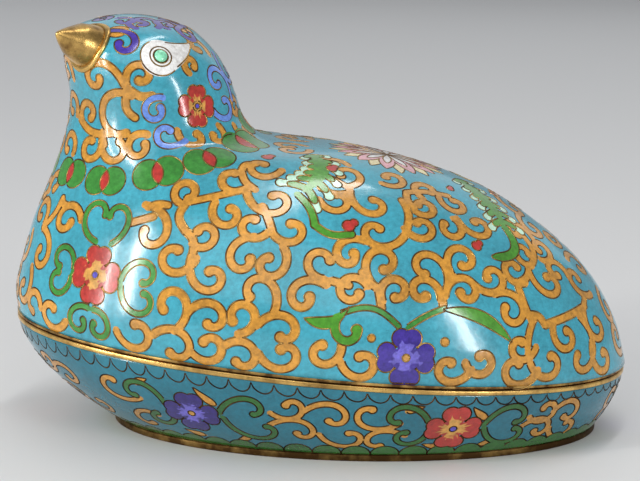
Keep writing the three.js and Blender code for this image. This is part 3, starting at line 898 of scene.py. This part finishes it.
def shade(colour, factor):
    """A linear colour made lighter or darker."""
    return tuple(min(1.0, c * factor) for c in colour[:3]) + (1.0,)


EDGE = 9.0                             # how steeply one enamel gives way to another, per mm
BLACK = (0.01, 0.008, 0.006, 1)        # linear


def enamel_material(name, colours, depth, used):
    """Polished enamel: a mottled ground with one colour laid over it for each field, a
    crisp edge where the field crosses zero, fine specks and a faint waviness. The mottling
    runs from a darker to a lighter shade with a mix of broad and fine noise."""
    # depth scales every mottled colour; below 1, as on the tray, it is painted shade over the whole surface
    nodes = Nodes(name)
    broad = nodes.noise(70.0, 3.0, 0.55)
    fine = nodes.noise(900.0, 4.0, 0.65)
    speck = nodes.noise(2600.0, 2.0, 0.5)

    def mottled(colour, spread):
        """A colour clouded between its darker and its lighter shade."""
        cloudy = (broad * 0.45 + fine * 0.55 - 0.5) * spread * 2.4 + 0.5
        return nodes.mix(cloudy.limited(), shade(colour, 0.72 * depth), shade(colour, 1.32 * depth))

    def cover(enamel):
        """How far an enamel's cells cover a point, from 0 to 1."""
        return (nodes.field(enamel) * -EDGE + 0.5).limited()

    colour = mottled(colours["ground"], 1.2)
    for enamel in ENAMELS[:-2]:
        if enamel in used:
            colour = nodes.mix(cover(enamel), colour, mottled(colours[enamel], 1.9))
    pits = ((speck - 0.66) * 9.0).limited()
    colour = nodes.mix(pits * 0.35, colour, shade(colours["ground"], 0.12))
    if "dark" in used:
        colour = nodes.mix(cover("dark"), colour, BLACK)
    colour = nodes.mix(nodes.field("inside"), colour, mottled(colours["counter"], 1.0))
    nodes.set(Base_Color=colour, Roughness=fine * 0.14 + 0.10, IOR=1.55, Coat_Weight=0.25,
              Coat_Roughness=0.06)
    waves = nodes.bump(broad, 0.00035, 0.35)
    nodes.set(Normal=nodes.bump(fine, 0.00004, 0.35, waves))
    return nodes.material


def gilt_material(name, bright, dull, roughness, tarnish):
    """Gilding: two golds mixed by worn patches, fine scratches, brown tarnish in spots."""
    nodes = Nodes(name)
    patch = nodes.noise(160.0, 5.0, 0.62)
    fine = nodes.noise(2400.0, 3.0, 0.6)
    worn = ((patch - 0.5) * 3.2 + tarnish).limited()
    colour = nodes.mix(worn, bright, dull)
    spots = ((nodes.noise(700.0, 4.0, 0.7) - 0.6) * 7.0).limited()
    colour = nodes.mix(spots * 0.6, colour, shade(dull, 0.35))
    nodes.set(Base_Color=colour, Metallic=1.0, Roughness=fine * 0.18 + worn * 0.12 + (roughness - 0.12))
    nodes.set(Normal=nodes.bump(fine, 0.00006, 0.4))
    return nodes.material


def bead_material(name, colour):
    """A turquoise bead: milky mint with paler clouds and a clean gloss."""
    nodes = Nodes(name)
    cloud = nodes.noise(900.0, 4.0, 0.6)
    milky = ((cloud - 0.5) * 2.6 + 0.5).limited()
    nodes.set(Base_Color=nodes.mix(milky, shade(colour, 0.75), shade(colour, 1.25)),
              Roughness=cloud * 0.12 + 0.12, Coat_Weight=0.4)
    nodes.set(Normal=nodes.bump(cloud, 0.00005, 0.25))
    return nodes.material


# --- the pieces ------------------------------------------------------------------------------

def tint(name, description, *colour):
    """A colour property."""
    return bpy.props.FloatVectorProperty(name=name, description=description, subtype="COLOR", size=3,
                                         default=colour)


class QuailSettings(bpy.types.PropertyGroup):
    """Sizes in mm and colours of the box."""
    wire_width: bpy.props.FloatProperty(
        name="Wire width", description="Width of the gilt wires, mm", default=0.36, min=0.1, max=1.0)
    band_half_width: bpy.props.FloatProperty(
        name="Band half width", description="Half width of the scrolls, mm", default=0.95, min=0.3, max=3.0)
    ground: tint("Ground", "Turquoise ground enamel", 0.24, 0.61, 0.69)
    # The tray's ground is the lid's turquoise painted darker: painted shade of the downward-facing tray.
    shaded_base_ground: tint("Base ground", "Ground enamel of the tray", 0.11, 0.45, 0.53)
    counter: tint("Counter enamel", "Plain enamel inside", 0.16, 0.47, 0.58)
    ochre: tint("Ochre", "Scroll enamel", 0.78, 0.55, 0.20)
    green: tint("Green", "Leaf enamel", 0.22, 0.52, 0.20)
    mint: tint("Mint", "Pale leaf-tip enamel", 0.72, 0.88, 0.78)
    leaf: tint("Leaf", "Brighter green of the long leaves", 0.28, 0.55, 0.15)
    sky: tint("Sky", "Cornflower enamel of the neck scrolls", 0.40, 0.55, 0.86)
    indigo: tint("Indigo", "Violet-blue enamel", 0.25, 0.18, 0.58)
    lilac: tint("Lilac", "Throat of the violet flowers", 0.45, 0.41, 0.82)
    amber: tint("Amber", "Throat of the red flowers", 0.84, 0.62, 0.30)
    violet: tint("Violet", "Eyelet of the red flowers", 0.36, 0.32, 0.78)
    pink: tint("Pink", "Lotus enamel", 0.88, 0.62, 0.66)
    cream: tint("Cream", "Cream enamel", 0.92, 0.84, 0.62)
    red: tint("Red", "Flower enamel", 0.70, 0.20, 0.17)
    white: tint("White", "Enamel round the eyes", 0.92, 0.90, 0.88)
    bead: tint("Bead", "Turquoise bead of the eyes", 0.55, 0.88, 0.72)
    gold: tint("Bright gold", "Gilding where it is whole", 0.93, 0.76, 0.45)
    bronze: tint("Bronze", "Brown metal where the gilding is worn", 0.42, 0.30, 0.17)
    floor: tint("Floor", "Colour of the floor", 0.90, 0.90, 0.90)


def settings():
    """The scene's sizes and colours."""
    return bpy.context.scene.quail_settings


def golds():
    """The bright and the worn gold as linear values."""
    return linear(settings().gold), linear(settings().bronze)


def tones(ground):
    """The enamel colours of one surface as linear values."""
    named = {name: linear(getattr(settings(), name)) for name in ENAMELS[:-2]}
    return dict(named, ground=linear(ground), counter=linear(settings().counter))


def skin_rings(surface, ups, columns, inset):
    """Rings of points on a surface, moved in along the outward direction."""
    up, turn = np.meshgrid(ups, np.linspace(0, TAU, columns, endpoint=False), indexing="ij")
    return surface.point(up, turn) - inset * surface.basis(up, turn)[2]


def add_fields(mesh, pattern, outer_count):
    """The pattern's colour fields as values on the mesh's points, and which points lie inside."""
    points = np.empty(len(mesh.vertices) * 3, np.float32)
    mesh.vertices.foreach_get("co", points)
    points = points.reshape(-1, 3).astype(float) / MM
    for enamel in sorted(pattern.used()):
        field = np.full(len(points), FIELD_REACH)
        field[:outer_count] = pattern.field(enamel, points[:outer_count])
        store(mesh, enamel, field)
    store(mesh, "inside", np.arange(len(points)) >= outer_count)


def store(mesh, name, values):
    """Keeps a value for each point of a mesh."""
    attribute = mesh.attributes.new(name, "FLOAT", "POINT")
    attribute.data.foreach_set("value", np.asarray(values, np.float32))


def dress(piece, slot, *nodes):
    """Ties a piece to the body and hides the solids it stands for; the slot is not used."""
    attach(piece, "root")
    if nodes:
        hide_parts(*nodes)


class QUAIL_OT_lid(bpy.types.Operator):
    """Builds the lid's enamel and its wires."""
    bl_idname = "quail.lid"
    bl_label = "Lid enamel"

    def execute(self, context):
        pattern = lid_pattern()
        outer = skin_rings(LID, np.linspace(0, 1, LID_GRID[0])[:-1], LID_GRID[1], SKIN)
        inner = skin_rings(LID, np.linspace(0, 1, LID_LINING)[:-1], LID_GRID[1], WALL)
        for rings in (outer, inner):
            rings[0, :, 2] = seam_height(rings[0, :, 0]) + MOUTH_RISE
        crown = LID.point(np.array([1.0]), np.array([0.0]))[0]
        material = enamel_material("lid_enamel", tones(settings().ground), 1.0, pattern.used())
        lid = shell_mesh("lid_enamel", outer, crown - (0, 0, SKIN), inner, crown - (0, 0, WALL), material)
        add_fields(lid.data, pattern, outer[..., 0].size + 1)
        dress(lid, "lid_enamel", "lid")
        gilt = gilt_material("wires", *golds(), 0.32, 0.8)
        dress(wire_mesh("lid_wires", pattern, gilt), "lid_rim")
        return {"FINISHED"}


class QUAIL_OT_base(bpy.types.Operator):
    """Builds the tray's enamel and its wires."""
    bl_idname = "quail.base"
    bl_label = "Base enamel"

    def execute(self, context):
        pattern = base_pattern()
        outer = skin_rings(BASE, np.linspace(1, 0, BASE_GRID[0]), BASE_GRID[1], SKIN)
        inner = skin_rings(BASE, np.linspace(1, 0.14, BASE_LINING), BASE_GRID[1], WALL)
        inner[:, :, 2] = np.maximum(inner[:, :, 2], UNDERSIDE + WALL)
        pole = np.array([FOOT_BACK, 0, UNDERSIDE])
        # Painted shade: the tray's ground is a darker, shaded copy of the lid's turquoise.
        colours = tones(settings().shaded_base_ground)
        # Painted shade: the tray's green and indigo are darkened because the tray lies in shade.
        colours.update(green=shade(colours["green"], 0.6), indigo=shade(colours["indigo"], 0.65))
        # Painted shade: a depth of 0.9 darkens every enamel of the tray.
        material = enamel_material("base_enamel", colours, 0.9, pattern.used())
        base = shell_mesh("base_enamel", outer, pole, inner, pole + (0, 0, WALL), material)
        add_fields(base.data, pattern, outer[..., 0].size + 1)
        dress(base, "base_enamel", "base")
        # Partly worn gilt, partly painted shade: the tray's wires take the worn gold as their brightest
        # colour and a far darker gold in the worn patches.
        dull = golds()[1]
        gilt = gilt_material("base_wires", dull, shade(dull, 0.25), 0.4, 0.7)
        dress(wire_mesh("base_wires", pattern, gilt), "base_rim")
        return {"FINISHED"}


# The base rim's section, (inset, rise) in mm: a flat band with the lip that centres the lid.
BASE_RIM = [(0.0, -1.05), (0.08, -1.22), (0.25, -1.3), (3.25, -1.3), (3.42, -1.22), (3.5, -1.05),
            (3.5, 2.2), (3.42, 2.42), (3.25, 2.5), (2.85, 2.5), (2.68, 2.42), (2.6, 2.2),
            (2.6, -0.15), (0.25, -0.15), (0.08, -0.23), (0.0, -0.4)]


class QUAIL_OT_rims(bpy.types.Operator):
    """Builds the two rims of the opening and the rim of the foot."""
    bl_idname = "quail.rims"
    bl_label = "Rims"

    def execute(self, context):
        bright, dull = golds()
        base_gilt = gilt_material("base_rim", bright, dull, 0.30, 0.25)
        lid_gilt = gilt_material("lid_rim", bright, shade(dull, 0.8), 0.36, 0.75)
        # Painted shade: the foot's rim is the gilt darkened to under half, since the foot lies in shade
        # under the tray.
        foot_gilt = gilt_material("foot_rim", shade(bright, 0.4), shade(dull, 0.45), 0.5, 0.9)
        upper = rounded_section(0, 1.9, 0.15, 0.82, 0.2)
        foot = rounded_section(0, 2.6, 0.0, 1.55, 0.3)
        for name, section, outline, gilt in (
                ("base_rim", BASE_RIM, rim_outline, base_gilt), ("lid_rim", upper, rim_outline, lid_gilt),
                ("foot_rim", foot, foot_outline, foot_gilt)):
            dress(ring_mesh(name, section, outline, gilt), name, name)
        return {"FINISHED"}


def head_frame(up, degrees):
    """A place on the head and its directions: point, along, upward, out."""
    up, turn = np.array([up]), np.array([math.radians(degrees)])
    return (LID.point(up, turn)[0], *(v[0] for v in LID.basis(up, turn)))


def spokes(place, columns):
    """Unit directions all round a place of the head."""
    _, along, upward, _ = place
    turn = np.linspace(0, TAU, columns, endpoint=False)[:, None]
    return np.cos(turn) * along + np.sin(turn) * upward


def lathe_mesh(name, place, profile, material, columns, follow=False):
    """A closed profile of (radius, height) turned about the outward direction at a place of
    the head; if it follows, each point is let down onto the head's curve."""
    point, _, _, out = place
    rings = []
    for radius, height in profile:
        ring = point + radius * spokes(place, columns)
        if follow:
            ring = drop_to_lid(ring, out)
        rings.append(ring + height * out)
    return hoop_mesh(name, np.stack(rings), material)


def drop_to_lid(points, out):
    """Points moved along a direction onto the lid's surface."""
    turn = np.arctan2(-points[:, 1] / HEAD_RADIUS, (HEAD_MIDDLE - points[:, 0]) / HEAD_RADIUS)
    up = np.full(len(points), 0.84)
    for _ in range(12):
        miss = points - LID.point(up, turn)
        up_step, turn_step = LID.steps_for(miss - dot(miss, out)[:, None] * out, up, turn)
        up, turn = np.clip(up + up_step, 0.5, 0.99), turn + turn_step
    return LID.point(up, turn)


BEAK_SHARES = [0, 0.35, 0.7, 0.93, 1.0]            # shares of the way from the root to the tip
BEAK_WIDTHS = [1.03, 0.79, 0.44, 0.17, 0.04]       # and the beak's radius there, of its root's
COLLAR = [(5.1, -0.3), (6.3, -0.3), (6.3, 0.4), (6.2, 0.62), (5.95, 0.7), (5.6, 0.6), (5.1, 0.4)]


def beak_mesh(place, material):
    """The beak: rings whose radius follows its widths along a straight line to the tip. The
    first lie on the head's curve, and over a third of the way they even out to flat ones."""
    point, _, _, out = place
    around = spokes(place, BEAK_COLUMNS)
    root = point + BEAK_RADIUS * around
    laid = drop_to_lid(root, out)
    rows = [laid - 0.5 * out, laid + 0.15 * out]
    for share in np.linspace(0.12, 1.0, 22):
        width = np.interp(share, BEAK_SHARES, BEAK_WIDTHS)
        bend = max(0.0, 1 - share / BEAK_SHARES[1])
        ring = point + share * BEAK_REACH + BEAK_RADIUS * width * around
        rows.append(ring + bend * width * (rows[1] - root))
    rings = np.vstack(rows)
    points = np.vstack([rings, point + BEAK_REACH, point - 0.6 * out])
    fans = np.vstack([fan_faces(len(rings) - BEAK_COLUMNS, BEAK_COLUMNS, len(rings)),
                      fan_faces(0, BEAK_COLUMNS, len(rings) + 1)[:, ::-1]])
    return closed_mesh("beak", points, grid_faces(len(rows), BEAK_COLUMNS), fans, material)


class QUAIL_OT_beak(bpy.types.Operator):
    """Builds the gilt beak and the collar round its root."""
    bl_idname = "quail.beak"
    bl_label = "Beak"

    def execute(self, context):
        place = head_frame(BEAK_UP, HEAD_TURN)
        dress(beak_mesh(place, gilt_material("beak", *golds(), 0.27, 0.3)), "beak", "beak")
        gilt = gilt_material("collar", *golds(), 0.3, 0.2)
        collar = lathe_mesh("beak_collar", place, COLLAR, gilt, BEAK_COLUMNS, True)
        dress(collar, "beak", "beak_collar")
        return {"FINISHED"}


class QUAIL_OT_eyes(bpy.types.Operator):
    """Builds the two bead eyes."""
    bl_idname = "quail.eyes"
    bl_label = "Eyes"

    def execute(self, context):
        material = bead_material("eye_bead", linear(settings().bead))
        lift = np.radians(np.linspace(0, 88, 12))
        dome = [(0.01, -0.4), (EYE_RADIUS, -0.4)]
        dome += [(EYE_RADIUS * math.cos(a), EYE_RADIUS / 2 * math.sin(a)) for a in lift]
        for side, name in ((1, "eye_left"), (-1, "eye_right")):
            place = head_frame(EYE_UP, HEAD_TURN + side * EYE_SPREAD)
            dress(lathe_mesh(name, place, dome, material, EYE_COLUMNS), "eye_bead", name)
        return {"FINISHED"}


FLOOR = [(-1500, -900, 0), (1500, -900, 0), (1500, 2500, 0), (-1500, 2500, 0)]     # mm

# Soft lights: name, place and size in metres, power in watts, colour.
LIGHTS = [
    ("top", (0.08, -0.03, 0.80), (0.9, 0.05), 1.5, (1, 1, 1)),
    ("left_strip", (-0.62, -0.44, 0.30), (0.045, 0.60), 2.8, (1, 0.98, 0.95)),
    ("left_second", (-0.70, -0.34, 0.20), (0.02, 0.40), 1.0, (1, 0.98, 0.95)),
    ("right_strip", (0.52, -0.55, 0.20), (0.05, 0.36), 1.3, (1, 1, 1)),
    ("front", (-0.1, -1.0, 0.75), (1.3, 0.9), 3.8, (1, 0.99, 0.97)),
    ("back", (0.1, 0.9, 0.8), (1.6, 1.1), 2.4, (0.96, 0.98, 1)),
]
LIGHTS_AIM = (0, 0, 0.05)
WORLD_COLOUR = (0.80, 0.82, 0.85, 1)
WORLD_STRENGTH = 0.38
CAMERA_PLACE = (-0.0008, -0.4905, 0.1415)
CAMERA_AIM = (-0.0008, 0, 0.0444)
CAMERA_ROLL = 1.2              # degrees
CAMERA_LENS = 116.7, 36        # focal length and sensor width, mm


def facing(obj, aim):
    """The turn that points an object's -Z at a place, with its Y up."""
    return (Vector(aim) - obj.location).to_track_quat("-Z", "Y")


class QUAIL_OT_stage(bpy.types.Operator):
    """Builds the floor, the lights and the camera."""
    bl_idname = "quail.stage"
    bl_label = "Stage"

    def execute(self, context):
        nodes = Nodes("floor")
        nodes.set(Base_Color=linear(settings().floor), Roughness=0.6)
        scene = context.scene
        floor = mesh_object("floor", FLOOR, [(0, 1, 2, 3)], nodes.material, False)
        for name, place, size, power, colour in LIGHTS:
            light = bpy.data.lights.new(name, "AREA")
            light.shape = "RECTANGLE"
            light.size, light.size_y = size
            light.energy, light.color = power, colour
            lamp = bpy.data.objects.new(name, light)
            lamp.location = place
            lamp.rotation_euler = facing(lamp, LIGHTS_AIM).to_euler()
            scene.collection.objects.link(lamp)
        scene.view_settings.view_transform = "Standard"
        world = bpy.data.worlds.new("studio")
        world.use_nodes = True
        sky = world.node_tree.nodes["Background"]
        sky.inputs["Color"].default_value = WORLD_COLOUR
        sky.inputs["Strength"].default_value = WORLD_STRENGTH
        scene.world = world
        camera = bpy.data.objects.new("camera", bpy.data.cameras.new("camera"))
        camera.data.lens, camera.data.sensor_width = CAMERA_LENS
        camera.data.clip_start = 0.01
        camera.location = CAMERA_PLACE
        roll = Matrix.Rotation(math.radians(CAMERA_ROLL), 4, "Z")
        camera.rotation_euler = (facing(camera, CAMERA_AIM).to_matrix().to_4x4() @ roll).to_euler()
        scene.collection.objects.link(camera)
        scene.camera = camera
        return {"FINISHED"}


class QUAIL_PT_panel(bpy.types.Panel):
    """Lists the parts of the box."""
    bl_idname = "QUAIL_PT_panel"
    bl_label = "Quail box"
    bl_space_type = "VIEW_3D"
    bl_region_type = "UI"
    bl_category = "Quail box"

    def draw(self, context):
        for operator in OPERATORS:
            self.layout.operator(operator.bl_idname)
        for name in QuailSettings.__annotations__:
            self.layout.prop(context.scene.quail_settings, name)


OPERATORS = (QUAIL_OT_lid, QUAIL_OT_base, QUAIL_OT_rims, QUAIL_OT_beak, QUAIL_OT_eyes, QUAIL_OT_stage)
CLASSES = (QuailSettings, *OPERATORS, QUAIL_PT_panel)


def register():
    """Adds the classes and the scene's settings."""
    for cls in CLASSES:
        bpy.utils.register_class(cls)
    bpy.types.Scene.quail_settings = bpy.props.PointerProperty(type=QuailSettings)


def unregister():
    """Takes them away again."""
    del bpy.types.Scene.quail_settings
    for cls in reversed(CLASSES):
        bpy.utils.unregister_class(cls)


def main():
    """Dresses the box."""
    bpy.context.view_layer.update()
    register()
    bpy.ops.quail.lid()
    bpy.ops.quail.base()
    bpy.ops.quail.rims()
    bpy.ops.quail.beak()
    bpy.ops.quail.eyes()
    bpy.ops.quail.stage()


if __name__ == "__main__":
    main()
